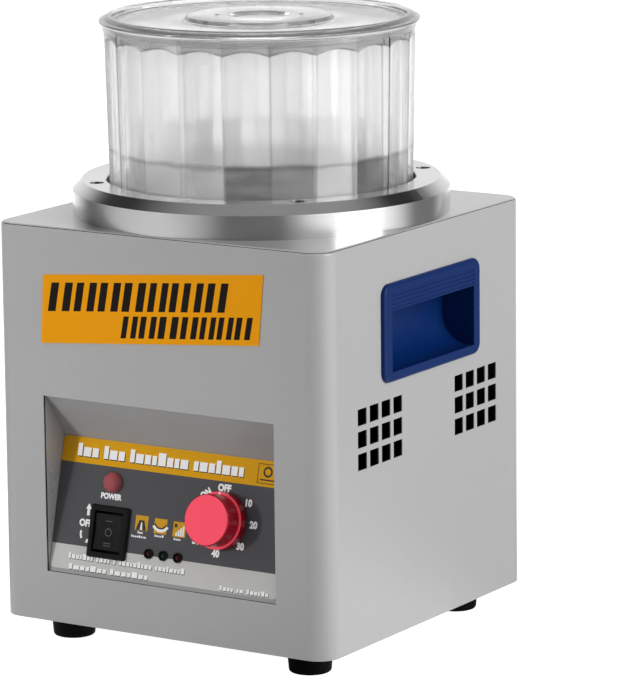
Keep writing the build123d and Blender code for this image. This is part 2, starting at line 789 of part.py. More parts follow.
def end_bell(open_z, direction):
    """A cup that closes one end of the motor: its rim is at open_z and its end plate a bell height away."""
    end_z = open_z + direction * bell_h
    inside_z = end_z - direction * bell_end_t
    seat_z = inside_z - direction * bearing_w
    with BuildPart() as bell:
        with BuildSketch(Plane.XZ):
            with BuildLine():
                Polyline(
                    (10, end_z),
                    (motor_r, end_z),
                    (motor_r, open_z),
                    (motor_r - bell_wall, open_z),
                    (motor_r - bell_wall, inside_z),
                    (bearing_r + 4, inside_z),
                    (bearing_r + 4, seat_z),
                    (bearing_r, seat_z),
                    (bearing_r, inside_z),
                    (10, inside_z),
                    close=True,
                )
            make_face()
        revolve(axis=Axis.Z)
        with BuildSketch(Plane.XY.offset(inside_z)):
            with Locations(*motor_bolt_at):
                Circle(5)
        extrude(amount=open_z - inside_z)
        with BuildSketch(Plane.XY.offset(end_z)):
            with Locations(*motor_bolt_at):
                Circle(2.7)
        extrude(amount=open_z - end_z, mode=Mode.SUBTRACT)
    return bell


pieces["motor_bell_upper"] = end_bell(stator_top, 1)
pieces["motor_bell_lower"] = end_bell(stator_bottom, -1)
with BuildPart() as motor_bearings:
    for seat in (upper_seat - bearing_w, lower_seat):
        add(tubes(Plane.XY.offset(seat), bearing_r, shaft_bearing_r, bearing_w).part)
pieces["motor_bearings"] = motor_bearings

with BuildPart() as motor_plate:
    with BuildSketch(Plane.XY.offset(motor_plate_z)):
        RectangleRounded(184, 164, 8)
        Circle(20, mode=Mode.SUBTRACT)
        with Locations(*motor_bolt_at):
            Circle(m5_hole_r, mode=Mode.SUBTRACT)
        with Locations(*pillar_at):
            Circle(m6_hole_r, mode=Mode.SUBTRACT)
    extrude(amount=motor_plate_t)
pieces["motor_plate"] = motor_plate
motor_bolt_l = plate_top - bell_bottom + 5
pieces["motor_bolts"] = screws(Plane.XY.offset(plate_top), motor_bolt_at, 2.5, motor_bolt_l, 4.25, 5, 2.3)
with BuildPart() as m5_nuts:
    add(nuts(Plane.XY.offset(base_top), foot_at, 2.55, 4.0, 4.0).part)
    add(nuts(Plane.XY.offset(top_under), collar_screw_at, 2.55, 4.0, -4.0).part)
    add(nuts(Plane.XY.offset(bell_bottom), motor_bolt_at, 2.55, 4.0, -4.0).part)
pieces["m5_nuts"] = m5_nuts
with BuildPart() as motor_pillars:
    with BuildSketch(Plane.XY.offset(base_top)):
        with Locations(*pillar_at):
            Circle(pillar_r)
    extrude(amount=motor_plate_z - base_top)
    for level, depth in ((base_top, 14), (motor_plate_z, -14)):
        with BuildSketch(Plane.XY.offset(level)):
            with Locations(*pillar_at):
                Circle(3.0)
        extrude(amount=depth, mode=Mode.SUBTRACT)
pieces["motor_pillars"] = motor_pillars
with BuildPart() as pillar_screws:
    add(screws(Plane.XY.offset(plate_top), pillar_at, 3.0, 16, 5.0, 4.5, 2.9).part)
    add(screws(facing_down(body_bottom), pillar_at, 3.0, 14, 5.0, 4.5, 2.9).part)
pieces["pillar_screws"] = pillar_screws

fan_top = bell_bottom - 6
with BuildPart() as cooling_fan:
    with BuildSketch(Plane.XY.offset(fan_top)):
        Circle(42)
    extrude(amount=-2)
    with BuildSketch(Plane.XY.offset(fan_top)):
        Circle(13)
    extrude(amount=-13)
    with BuildSketch(Plane.XY.offset(fan_top)):
        with PolarLocations(26, 8):
            Rectangle(30, 2)
    extrude(amount=-13)
    with BuildSketch(Plane.XY.offset(fan_top)):
        Circle(shaft_bearing_r - running_gap)
    extrude(amount=-13, mode=Mode.SUBTRACT)
pieces["cooling_fan"] = cooling_fan

# ---- electrical parts on the base ---------------------------------------------------------------------

capacitor_at = (-82.0, 25.0)
capacitor_r = 17.5
with BuildPart() as capacitor:
    with BuildSketch(Plane.XY.offset(base_top)):
        with Locations(capacitor_at):
            Circle(capacitor_r)
    extrude(amount=62)
    fillet(capacitor.faces().sort_by(Axis.Z)[-1].edges(), 2)
    with BuildSketch(Plane.XY.offset(base_top + 62)):
        with Locations((capacitor_at[0] - 5, capacitor_at[1]), (capacitor_at[0] + 5, capacitor_at[1])):
            Rectangle(0.8, 6.3)
    extrude(amount=8)
pieces["capacitor"] = capacitor
with BuildPart() as capacitor_clamp:
    with BuildSketch(Plane.XY.offset(base_top)):
        with Locations(capacitor_at):
            Circle(capacitor_r + 1.6)
            Circle(capacitor_r + 0.05, mode=Mode.SUBTRACT)
    extrude(amount=18)
    with BuildSketch(Plane.XY.offset(base_top)):
        with Locations((capacitor_at[0], capacitor_at[1] - capacitor_r - 8)):
            Rectangle(14, 15)
        with Locations(capacitor_at):
            Circle(capacitor_r + 0.05, mode=Mode.SUBTRACT)
    extrude(amount=1.6)
pieces["capacitor_clamp"] = capacitor_clamp

terminal_at = (70.0, 30.0)
terminal_ways = 5
way_pitch = 11.0
with BuildPart() as terminal_block:
    with BuildSketch(Plane.XY.offset(base_top)):
        with Locations(terminal_at):
            Rectangle(20, terminal_ways * way_pitch)
    extrude(amount=16)
    with BuildSketch(Plane.XY.offset(base_top + 16)):
        with Locations(terminal_at):
            with GridLocations(1, way_pitch, 1, terminal_ways):
                Rectangle(21, 7.5)
    extrude(amount=-9, mode=Mode.SUBTRACT)
pieces["terminal_block"] = terminal_block
with BuildPart() as terminal_screws:
    with BuildSketch(Plane.XY.offset(base_top + 7)):
        with Locations(terminal_at):
            with GridLocations(10, way_pitch, 2, terminal_ways):
                Circle(2.6)
    extrude(amount=4)
pieces["terminal_screws"] = terminal_screws

# ---- rear fittings ------------------------------------------------------------------------------------

inlet_pin_at = [(-7, -1.5), (7, -1.5), (0, 2.5)]
with BuildPart() as mains_inlet:
    with BuildSketch(on_rear(inlet_at)):
        RectangleRounded(50, 28, 5)
        with Locations((-20, 0), (20, 0)):
            Circle(1.6, mode=Mode.SUBTRACT)
    extrude(amount=3)
    with BuildSketch(on_rear(inlet_at)):
        Rectangle(28, 20)
    extrude(amount=-21)
    with BuildSketch(on_rear(inlet_at, 3)):
        with BuildLine():
            Polyline((-12, -8), (12, -8), (12, 4), (8, 8), (-8, 8), (-12, 4), close=True)
        make_face()
    extrude(amount=-18, mode=Mode.SUBTRACT)
    with BuildSketch(on_rear(inlet_at)):
        with Locations(*inlet_pin_at):
            Rectangle(2, 4)
    extrude(amount=-21, mode=Mode.SUBTRACT)
pieces["mains_inlet"] = mains_inlet
with BuildPart() as inlet_pins:
    with BuildSketch(on_rear(inlet_at, -1)):
        with Locations(*inlet_pin_at):
            Rectangle(2, 4)
    extrude(amount=-28)
pieces["inlet_pins"] = inlet_pins
pieces["inlet_screws"] = screws(on_rear(inlet_at, 3), [(-20, 0), (20, 0)], 1.5, 9, 2.8, 1.6, 1.2)

fuse_bore_r = 3.2
with BuildPart() as fuse_holder:
    with BuildSketch(on_rear(fuse_at)):
        Circle(8.5)
    extrude(amount=2)
    with BuildSketch(on_rear(fuse_at)):
        Circle(6.0)
    extrude(amount=-28)
    with BuildSketch(on_rear(fuse_at, 2)):
        Circle(fuse_bore_r)
    extrude(amount=-26, mode=Mode.SUBTRACT)
pieces["fuse_holder"] = fuse_holder
pieces["fuse_nut"] = nuts(on_rear(fuse_at, -sheet), [(0, 0)], 6.05, 8.5, -3.0)
with BuildPart() as fuse_cap:
    with BuildSketch(on_rear(fuse_at, 2.3)):
        Circle(7.0)
    extrude(amount=7.7)
    cap_end = fuse_cap.faces().sort_by(Axis.Y)[-1]
    chamfer(cap_end.edges(), 0.8)
    with BuildSketch(on_rear(fuse_at, 2.3)):
        Circle(fuse_bore_r - 0.15)
    extrude(amount=-4.3)
    with BuildSketch(on_rear(fuse_at, 10)):
        Rectangle(8, 1.4)
    extrude(amount=-1.6, mode=Mode.SUBTRACT)
pieces["fuse_cap"] = fuse_cap
pieces["fuse"] = tubes(on_rear(fuse_at, -2), 2.6, 0, -20)

# ---- export -------------------------------------------------------------------------------------------

os.makedirs("parts", exist_ok=True)
for name, piece in pieces.items():
    piece.part.label = name
    export_step(piece.part, f"parts/{name}.step")
print(len(pieces), "pieces")
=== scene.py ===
"""Looks of the magnetic tumbler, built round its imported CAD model.

Lengths are in millimetres until they reach a mesh, and in metres for the floor, the lights and the camera.
"""

from math import cos, pi, radians, sin, sqrt, tan

import bmesh
import bpy
from mathutils import Matrix, Vector


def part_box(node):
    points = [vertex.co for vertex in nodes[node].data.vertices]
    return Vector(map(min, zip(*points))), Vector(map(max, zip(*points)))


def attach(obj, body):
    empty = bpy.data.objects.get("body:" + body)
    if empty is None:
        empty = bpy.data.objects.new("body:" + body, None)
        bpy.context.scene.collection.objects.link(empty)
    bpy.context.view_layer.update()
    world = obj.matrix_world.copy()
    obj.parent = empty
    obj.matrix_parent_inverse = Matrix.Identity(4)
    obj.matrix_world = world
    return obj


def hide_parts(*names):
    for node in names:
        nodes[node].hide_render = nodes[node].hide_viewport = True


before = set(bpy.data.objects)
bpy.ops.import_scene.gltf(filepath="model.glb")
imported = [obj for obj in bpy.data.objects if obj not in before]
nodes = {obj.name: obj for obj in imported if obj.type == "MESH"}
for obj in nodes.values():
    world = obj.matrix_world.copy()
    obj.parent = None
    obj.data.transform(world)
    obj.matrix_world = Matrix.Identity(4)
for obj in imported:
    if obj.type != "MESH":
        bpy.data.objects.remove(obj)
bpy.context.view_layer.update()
scene = bpy.context.scene

# ---- dimensions of the CAD model ------------------------------------------------------------------------

MM = 0.001


def lowest(node):
    """A CAD node's lowest corner, to the nearest micrometre."""
    return [round(value / MM, 3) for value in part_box(node)[0]]


def highest(node):
    return [round(value / MM, 3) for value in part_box(node)[1]]


# Cabinet
HALF_BODY, _, BODY_TOP = highest("housing")
BODY_CORNER = 15.0

# Leaning panel: how far it leans back, the middle of its lower edge, and its overlay's thickness and bands
LEAN = radians(13.4)
PANEL_FOOT = (0.0, -123.0, 50.0)
OVERLAY_T = 0.5
LIGHT_BAND_TOP, YELLOW_BAND_FOOT = 18.4, 71.6
SWITCH_PLACE = (-44.0, 29.5)

# Front label: its lower left corner, and how its lower and left edges run
LABEL_CORNER = lowest("front_label")
LABEL_ALONG = Vector((164.8, 0, 13.9))
LABEL_UP = Vector((2.5, 0, 44.4))

# Bowl
BOWL_FOOT, RIM = lowest("bowl")[2], highest("bowl")[2]
SHOULDER = RIM - 3.8
OUTER_FOOT, OUTER_TOP, NECK, INNER = 98.0, 100.3, 98.9, 92.5
FLOOR, CONE_R, CONE_H = BOWL_FOOT + 8.5, 25.0, 19.0
FLUTES = 21
FLUTE_PHASE = radians(-2.2)
FLUTE_DEPTH = 2.4
FLUTE_CUT_R = 70.0
FLUTE_SPRING, FLUTE_ARCH = SHOULDER - 5.9, SHOULDER - 2.9

# Lid
TIP_R, _, LID_TOP = highest("lid")
LID_PANEL = LID_TOP - 3.5
LID_UNDER = LID_PANEL - 3.0
BOSS_R, BOSS_RISE = 47.0, 2.5
DISH_R, DISH_RISE = 20.0, 0.8
PLUG_R, PLUG_FOOT = 88.0, lowest("lid")[2]
SKIRT_R, SKIRT_FOOT = TIP_R - 2.2, SHOULDER + 0.5
VENT_R, VENT_REACH, VENT_TURNS = 1.5, 27.0, (32, 212)

# ---- node trees -----------------------------------------------------------------------------------------


def srgb(red, green, blue):
    """A colour given as 0-255 values, as the linear numbers that a shader takes."""

    def linear(value):
        value /= 255
        return value / 12.92 if value <= 0.04045 else ((value + 0.055) / 1.055) ** 2.4

    return (linear(red), linear(green), linear(blue), 1.0)


def grey(value):
    return (value, value, value, 1.0)


def scaled(colour, factor):
    return tuple(min(1.0, part * factor) for part in colour[:3]) + (1.0,)


class Tree:
    """The nodes of a material or a world, with the few kinds that this scene uses."""

    def __init__(self, owner):
        owner.use_nodes = True
        self.owner = owner
        self.nodes = owner.node_tree.nodes
        self.shader = self.nodes.get("Principled BSDF")

    def link(self, source, target):
        self.owner.node_tree.links.new(source, target)

    def feed(self, socket, value):
        """Links a socket to another one, or gives it a value."""
        if isinstance(value, bpy.types.NodeSocket):
            self.link(value, socket)
        else:
            socket.default_value = value

    def add(self, kind, inputs=(), **settings):
        node = self.nodes.new(kind)
        for key, value in settings.items():
            setattr(node, key, value)
        for key, value in dict(inputs).items():
            self.feed(node.inputs[key], value)
        return node

    def set(self, **sockets):
        """Values for the shader: underscores in a name stand for spaces."""
        for key, value in sockets.items():
            self.feed(self.shader.inputs[key.replace("_", " ")], value)

    def show(self, shader):
        """Sends a shader to the output of the material or the world."""
        output = self.nodes.get("Material Output") or self.nodes.get("World Output")
        self.link(shader.outputs[0], output.inputs[0])

    def coords(self, scale=(1, 1, 1)):
        source = self.add("ShaderNodeTexCoord").outputs["Object"]
        return self.add("ShaderNodeMapping", {"Vector": source, "Scale": scale}).outputs[0]

    def split(self, vector):
        return self.add("ShaderNodeSeparateXYZ", {0: vector}).outputs

    def noise(self, vector, scale, detail=2.0, roughness=0.5):
        settings = {"Vector": vector, "Scale": scale, "Detail": detail, "Roughness": roughness}
        return self.add("ShaderNodeTexNoise", settings).outputs["Fac"]

    def spread(self, value, low, high, start=0.3, end=0.7):
        """low at start and below, high at end and above, and a straight line between them."""
        settings = {"Value": value, "From Min": start, "From Max": end, "To Min": low, "To Max": high}
        return self.add("ShaderNodeMapRange", settings).outputs[0]

    def smooth(self, value, start, end, high=1.0):
        """0 at start and before, high at end and past it, and a smooth step between them."""
        settings = {"Value": value, "From Min": start, "From Max": end, "To Max": high}
        return self.add("ShaderNodeMapRange", settings, interpolation_type="SMOOTHSTEP").outputs[0]

    def math(self, operation, first, second=0.0, clamp=False):
        node = self.add("ShaderNodeMath", {0: first, 1: second}, operation=operation, use_clamp=clamp)
        return node.outputs[0]

    def times(self, first, second):
        return self.math("MULTIPLY", first, second)

    def away(self, value, middle):
        """How far a value is from a middle one."""
        return self.math("ABSOLUTE", self.math("SUBTRACT", value, middle))

    def dot(self, first, second):
        node = self.add("ShaderNodeVectorMath", {0: first, 1: second}, operation="DOT_PRODUCT")
        return node.outputs["Value"]

    def reach(self, x, y):
        """The length of the flat vector (x, y)."""
        flat = self.add("ShaderNodeCombineXYZ", {0: x, 1: y}).outputs[0]
        return self.add("ShaderNodeVectorMath", {0: flat}, operation="LENGTH").outputs["Value"]

    def mix(self, factor, first, second):
        return self.add("ShaderNodeMix", {0: factor, 6: first, 7: second}, data_type="RGBA").outputs[2]

    def bump(self, height, distance):
        settings = {"Height": height, "Distance": distance, "Strength": 1.0}
        return self.add("ShaderNodeBump", settings).outputs[0]


def material_tree(name):
    return Tree(bpy.data.materials.new(name))


# ---- finishes -------------------------------------------------------------------------------------------


def finish(name, colour, rough, vary=0.05, patch=18, rough_vary=0.05, grain=900, height=0.0, **shader):
    """A plain material: broad patches of slightly different colour and gloss, and a fine grain.

    patch and grain are how many of each there are in a metre, and height is how far the grain stands out.
    """
    tree = material_tree(name)
    where = tree.coords()
    patches = tree.noise(where, patch, 4.0, 0.6)
    fine = tree.noise(where, grain)
    tone = tree.mix(tree.spread(patches, 0, 1), scaled(colour, 1 - vary), scaled(colour, 1 + vary))
    smudges = tree.noise(where, patch * 2.7, 5.0, 0.65)
    tree.set(
        Base_Color=tree.mix(tree.spread(fine, 0, 0.25), tone, scaled(colour, 0.9)),
        Roughness=tree.spread(smudges, max(0.02, rough - rough_vary), rough + rough_vary),
        **shader,
    )
    if height:
        tree.set(Normal=tree.bump(fine, height * MM))
    return tree.owner


def turned_metal(name, colour, rough):
    """Metal turned on a lathe about the Z axis, so its highlights stretch across the tool's fine lines."""
    tree = material_tree(name)
    where = tree.coords()
    x, y, z = tree.split(where)
    lines_per_metre = 2600
    section = {0: tree.times(tree.reach(x, y), lines_per_metre), 1: tree.times(z, lines_per_metre)}
    lines = tree.noise(tree.add("ShaderNodeCombineXYZ", section).outputs[0], 1.0, 3.0, 0.7)
    tone = tree.mix(tree.spread(tree.noise(where, 26, 5.0, 0.7), 0, 1), scaled(colour, 0.95), colour)
    tree.set(
        Base_Color=tree.mix(tree.spread(lines, 0, 0.3), tone, scaled(colour, 0.8)),
        Metallic=1.0,
        Roughness=tree.spread(tree.noise(where, 40, 3.0), rough - 0.02, rough + 0.03),
        Anisotropic=0.8,
        Anisotropic_Rotation=0.25,
        Normal=tree.bump(lines, 0.001 * MM),
        Tangent=tree.add("ShaderNodeTangent", direction_type="RADIAL", axis="Z").outputs[0],
    )
    return tree.owner


def paint(name, colour, rough=0.15, shade_depth=None):
    """Sprayed enamel: orange peel in the gloss, and slightly duller and dirtier patches.

    Inside the cabinet, further in than the given depth, the sheet is painted near black as painted shade.
    """
    tree = material_tree(name)
    where = tree.coords()
    peel = tree.noise(where, 420)
    broad = tree.noise(where, 7, 3.0)
    dust = tree.noise(where, 140, 6.0, 0.8)
    tone = tree.mix(tree.spread(broad, 0, 1), scaled(colour, 0.97), colour)
    tone = tree.mix(tree.spread(dust, 0, 0.05, 0.5, 0.75), tone, srgb(116, 116, 114))
    # Painted shade: inside the cabinet the enamel is painted near black, so the vents look dark
    if shade_depth:
        x, y, z = tree.split(where)
        flat = (HALF_BODY - BODY_CORNER) * MM
        beyond = [
            tree.math("MAXIMUM", tree.math("SUBTRACT", tree.math("ABSOLUTE", value), flat), 0.0)
            for value in (x, y)
        ]
        behind_walls = tree.math("LESS_THAN", tree.reach(*beyond), (BODY_CORNER - shade_depth) * MM)
        under_top = tree.math("LESS_THAN", z, (BODY_TOP - shade_depth) * MM)
        tone = tree.mix(tree.times(behind_walls, under_top), tone, srgb(14, 14, 15))
    tree.set(
        Base_Color=tone,
        Roughness=tree.spread(tree.noise(where, 22, 5.0), rough - 0.03, rough + 0.05),
        Normal=tree.bump(peel, 0.006 * MM),
    )
    return tree.owner


def see_through(tree, tint, share, shadow):
    """Makes the tree's shader clear. Lamps shine through it instead of leaving a black shadow."""
    tree.set(Transmission_Weight=share, Base_Color=tint)
    shade = tree.add("ShaderNodeBsdfTransparent", {"Color": shadow})
    is_shadow = tree.add("ShaderNodeLightPath").outputs["Is Shadow Ray"]
    parts = {0: is_shadow, 1: tree.shader.outputs[0], 2: shade.outputs[0]}
    tree.show(tree.add("ShaderNodeMixShader", parts))
    return tree.owner


def lid_plastic():
    """Clear moulded plastic with faint wipe marks and slight waves."""
    tree = material_tree("lid_plastic")
    where = tree.coords()
    tint = grey(0.77)
    marks = tree.spread(tree.noise(where, 30, 5.0, 0.7), 0, 1)
    waves = tree.noise(tree.coords(scale=(1, 1, 0.25)), 55, 1.0)
    tree.set(
        Roughness=tree.spread(tree.noise(where, 45, 4.0), 0.06, 0.09),
        IOR=1.33,
        Normal=tree.bump(waves, 0.02 * MM),
    )
    return see_through(tree, tree.mix(marks, tint, scaled(tint, 0.96)), 0.88, scaled(tint, 0.93))


# Where round the bowl its flutes change. They are counted anticlockwise, and 17 faces the front right corner
DARKEST_FLUTE = 17.3
FIRST_DARK_FLUTE = 16
FRONT_RIDGE, FAINT_RIDGES = 17.5, 3.0
DARK_ZONE_TOP = FLOOR + 35


def fluted_plastic():
    """The bowl's plastic, with painted light. Each flute is painted its own grey as a painted reflection,
    and darker towards one ridge and under its arch as painted shade.

    Low down, flutes are painted darker still: painted refraction of the shaded cabinet top seen through the
    floor.
    """
    tree = material_tree("bowl_plastic")
    where = tree.coords()
    x, y, z = tree.split(where)
    turn = tree.math("SUBTRACT", tree.math("ARCTAN2", y, x), FLUTE_PHASE)
    turn = tree.math("ADD", tree.times(turn, FLUTES / (2 * pi)), float(FLUTES))
    share = tree.math("FRACT", turn)
    number = tree.math("FLOOR", turn)
    height = tree.times(z, 1 / MM)
    chance = tree.add("ShaderNodeTexWhiteNoise", {"W": number}, noise_dimensions="1D").outputs[0]
    # Painted reflection and shade: a random grey for each flute, and a gradient across it
    tone = tree.math("ADD", tree.spread(chance, 0.84, 0.93, 0, 1), tree.spread(share, -0.07, 0.07, 0, 1))

    # The arch, in painted shade: dark above it, a darker line along it, and a soft shade below it
    off_middle = tree.math("SUBTRACT", tree.times(share, 2.0), 1.0)
    drop = tree.times(tree.times(off_middle, off_middle), FLUTE_ARCH - FLUTE_SPRING)
    above = tree.math("SUBTRACT", height, tree.math("SUBTRACT", FLUTE_ARCH, drop))
    tone = tree.times(tone, tree.spread(above, 1.0, 0.62, -0.8, 0.4))
    tone = tree.times(tone, tree.spread(above, 1.0, 0.9, -14.0, -1.0))
    line = tree.math("LESS_THAN", tree.math("ABSOLUTE", above), 0.45)
    tone = tree.math("SUBTRACT", tone, tree.times(line, 0.22))

    # The ridges in painted shade: faint on the front right corner, and darker round the rest of the bowl
    off_front = tree.away(tree.math("ROUND", turn), FRONT_RIDGE)
    depth = tree.math("ADD", tree.times(tree.math("GREATER_THAN", off_front, FAINT_RIDGES), 0.5), 0.12)
    ridge = tree.spread(tree.math("ABSOLUTE", off_middle), 0.0, depth, 0.9, 0.98)
    tone = tree.math("SUBTRACT", tone, ridge)

    # Low down, painted refraction of the shaded cabinet top: darker flutes, worst on every third, a dark top
    # line
    low = tree.smooth(height, DARK_ZONE_TOP, DARK_ZONE_TOP - 3)
    streaks = tree.noise(tree.coords(scale=(1, 1, 4)), 34, 4.0, 0.6)
    third = tree.times(tree.math("SUBTRACT", number, DARKEST_FLUTE), 2 * pi / 3)
    dark_refraction = tree.spread(tree.math("COSINE", third), 0.0, 0.6, -0.9, 0.8)
    dark_refraction = tree.times(dark_refraction, tree.spread(streaks, 0.7, 1.1))
    dark_refraction = tree.times(dark_refraction, tree.spread(number, 0.3, 1.0, FIRST_DARK_FLUTE - 0.5, FIRST_DARK_FLUTE + 0.5))
    kept = tree.math("SUBTRACT", 1.0, tree.times(low, dark_refraction))
    tone = tree.math("MULTIPLY", tone, kept, clamp=True)
    zone_edge = tree.away(height, tree.spread(streaks, DARK_ZONE_TOP - 4, DARK_ZONE_TOP - 1))
    tone = tree.times(tone, tree.spread(zone_edge, 0.72, 1.0, 0.4, 2.4))

    # The floor and the cone inside have none of this
    wall = tree.math("GREATER_THAN", tree.reach(x, y), (INNER - 1) * MM)
    plain = tree.mix(tree.noise(where, 30, 5.0, 0.7), grey(0.9), grey(0.95))
    tint = tree.add("ShaderNodeCombineColor", {0: tone, 1: tone, 2: tone}).outputs[0]
    frost = tree.times(wall, tree.spread(chance, 0.22, 0.34, 0, 1))
    clear = tree.math("SUBTRACT", 1.0, frost, clamp=True)
    tree.set(Roughness=tree.spread(tree.noise(where, 45, 4.0), 0.15, 0.2), IOR=1.35)
    return see_through(tree, tree.mix(wall, plain, tint), clear, grey(0.93))


def banded_overlay():
    """The printed overlay: light, dark and yellow bands up the leaning panel, on fine-textured film."""
    tree = material_tree("overlay_film")
    where = tree.coords()
    height = tree.split(where)[2]
    foot = PANEL_FOOT[2] + OVERLAY_T * sin(LEAN)
    dark = srgb(92, 92, 96)

    def above(slope):
        return tree.math("GREATER_THAN", height, (foot + slope * cos(LEAN)) * MM)

    bands = tree.mix(above(LIGHT_BAND_TOP), srgb(226, 226, 223), dark)
    bands = tree.mix(above(YELLOW_BAND_FOOT), bands, srgb(252, 184, 6))
    worn = tree.noise(where, 60, 5.0, 0.7)
    tree.set(
        Base_Color=tree.mix(tree.spread(worn, 0, 0.05), bands, scaled(dark, 1.3)),
        Roughness=tree.spread(tree.noise(where, 90, 3.0), 0.5, 0.6),
        Specular_IOR_Level=0.3,
        Normal=tree.bump(tree.noise(where, 2600, 1.0), 0.004 * MM),
    )
    return tree.owner


def knob_plastic():
    """Red moulded plastic, matt in front and glossy round the barrel and flange, with painted light."""
    tree = material_tree("knob_plastic")
    where = tree.coords()
    red, shaded_crimson = srgb(252, 78, 101), srgb(168, 16, 40)
    # Painted light: a bright, glowing red on the lit front and a shaded crimson on the barrel and flange
    facing = tree.add("ShaderNodeNewGeometry").outputs["True Normal"]
    front = tree.spread(tree.dot(facing, tuple(PANEL.to_3x3().col[2])), 0, 1, 0.86, 0.97)
    lit_face = tree.mix(tree.spread(tree.noise(where, 90, 4.0), 0, 0.3), red, scaled(red, 0.9))
    side = tree.mix(tree.spread(tree.noise(where, 110, 4.0), 0, 0.4), shaded_crimson, scaled(shaded_crimson, 0.85))
    tree.set(
        Base_Color=tree.mix(front, side, lit_face),
        Roughness=tree.spread(front, 0.25, 0.5, 0, 1),
        Emission_Color=tree.mix(front, grey(0), red),
        Emission_Strength=0.32,
        Normal=tree.bump(tree.noise(where, 1500), 0.008 * MM),
    )
    return tree.owner


def paddle_plastic():
    """Black rocker with faint moulded marks: a ring in the middle, one bar above it and two below it."""
    tree = material_tree("paddle_plastic")
    place = tree.add("ShaderNodeTexCoord").outputs["Object"]
    centre = PANEL @ Vector((SWITCH_PLACE[0] * MM, SWITCH_PLACE[1] * MM, 0))
    shifted = tree.add("ShaderNodeVectorMath", {0: place, 1: tuple(centre)}, operation="SUBTRACT").outputs[0]
    axes = [tuple(PANEL.to_3x3().col[index]) for index in (0, 1)]
    across, up = [tree.times(tree.dot(shifted, axis), 1 / MM) for axis in axes]

    def band(value, middle, half):
        return tree.math("LESS_THAN", tree.away(value, middle), half)

    marks = band(tree.reach(across, up), 2.3, 0.32)
    for level in (7.2, -7.0, -8.6):
        bar = tree.times(band(up, level, 0.28), band(across, 0.0, 2.6))
        marks = tree.math("MAXIMUM", marks, bar)
    tree.set(
        Base_Color=tree.mix(tree.times(marks, 0.75), srgb(17, 17, 18), srgb(110, 110, 112)),
        Roughness=tree.spread(tree.noise(place, 120, 3.0), 0.5, 0.6),
        Specular_IOR_Level=0.3,
        Normal=tree.bump(tree.noise(place, 1300), 0.01 * MM),
    )
    return tree.owner


# ---- frames of the leaning panel and the front label ------------------------------------------------------


def plane(x_axis, y_axis, z_axis, origin):
    """A matrix from a flat drawing on a plane to the scene: its origin is in millimetres."""
    place = Matrix((x_axis, y_axis, z_axis)).transposed().to_4x4()
    place.translation = Vector(origin) * MM
    return place


PANEL = plane((1, 0, 0), (0, sin(LEAN), cos(LEAN)), (0, -cos(LEAN), sin(LEAN)), PANEL_FOOT)
LABEL = plane(LABEL_ALONG.normalized(), LABEL_UP.normalized(), (0, -1, 0), LABEL_CORNER)

# ---- meshes ---------------------------------------------------------------------------------------------

SHARP_ANGLE = radians(32)


def add_piece(name, mesh, material, body=None):
    mesh.materials.append(material)
    piece = bpy.data.objects.new(name, mesh)
    scene.collection.objects.link(piece)
    if body:
        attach(piece, body)
    return piece


def mesh_object(name, vertices, faces, material, body=None):
    """A new piece: vertices in metres, shaded smooth except across sharp edges."""
    mesh = bpy.data.meshes.new(name)
    mesh.from_pydata(vertices, [], faces)
    mesh.polygons.foreach_set("use_smooth", [True] * len(mesh.polygons))
    mesh.set_sharp_from_angle(angle=SHARP_ANGLE)
    return add_piece(name, mesh, material, body)


def rounded(corners):
    """A profile with rounded corners: each is (point, radius), and a radius of 0 leaves it sharp."""
    steps = 5
    path = []
    for index, (point, radius) in enumerate(corners):
        here = Vector(point)
        if not radius or index in (0, len(corners) - 1):
            path.append(point)
            continue
        back = Vector(corners[index - 1][0]) - here
        ahead = Vector(corners[index + 1][0]) - here
        half = back.angle(ahead) / 2
        reach = min(radius / tan(half), 0.48 * back.length, 0.48 * ahead.length)
        inward = (back.normalized() + ahead.normalized()).normalized()
        centre = here + inward * (reach / cos(half))
        first = here + back.normalized() * reach - centre
        last = here + ahead.normalized() * reach - centre
        sweep = first.angle_signed(last)
        for step in range(steps + 1):
            path.append(tuple(centre + Matrix.Rotation(-sweep * step / steps, 2) @ first))
    return path


def revolve(name, path, angles, material, body, radius_at=None):
    """A closed solid of revolution about Z.

    The path of (radius, z) starts and ends on the axis. radius_at(radius, z, angle) changes a radius.
    """
    vertices = [(0, 0, path[0][1] * MM)]
    for radius, z in path[1:-1]:
        for angle in angles:
            here = radius_at(radius, z, angle) if radius_at else radius
            vertices.append((here * cos(angle) * MM, here * sin(angle) * MM, z * MM))
    vertices.append((0, 0, path[-1][1] * MM))
    count = len(angles)
    last_row = len(path) - 3
    faces = []
    for column in range(count):
        after = (column + 1) % count
        faces.append((0, 1 + after, 1 + column))
        for row in range(last_row):
            low, high = 1 + row * count, 1 + (row + 1) * count
            faces.append((low + column, low + after, high + after, high + column))
        last = 1 + last_row * count
        faces.append((last + column, last + after, len(vertices) - 1))
    return mesh_object(name, vertices, faces, material, body)


def prism(outline, place, low, high):
    """Vertices and faces of a flat plate on a plane: its outline, and how far out its two faces are."""
    size = len(outline)
    vertices = [place @ Vector((x * MM, y * MM, out * MM)) for out in (low, high) for x, y in outline]
    faces = [tuple(reversed(range(size))), tuple(range(size, 2 * size))]
    faces += [(i, (i + 1) % size, size + (i + 1) % size, size + i) for i in range(size)]
    return vertices, faces


def plates(name, outlines, place, low, high, material):
    """One piece of the cabinet's print, made of many flat plates that lie on the same plane."""
    vertices, faces = [], []
    for outline in outlines:
        area = sum(a[0] * b[1] - b[0] * a[1] for a, b in zip(outline, outline[1:] + outline[:1]))
        more, sides = prism(outline if area > 0 else outline[::-1], place, low, high)
        faces += [tuple(index + len(vertices) for index in side) for side in sides]
        vertices += more
    mesh_object(name, vertices, faces, material, "cabinet")


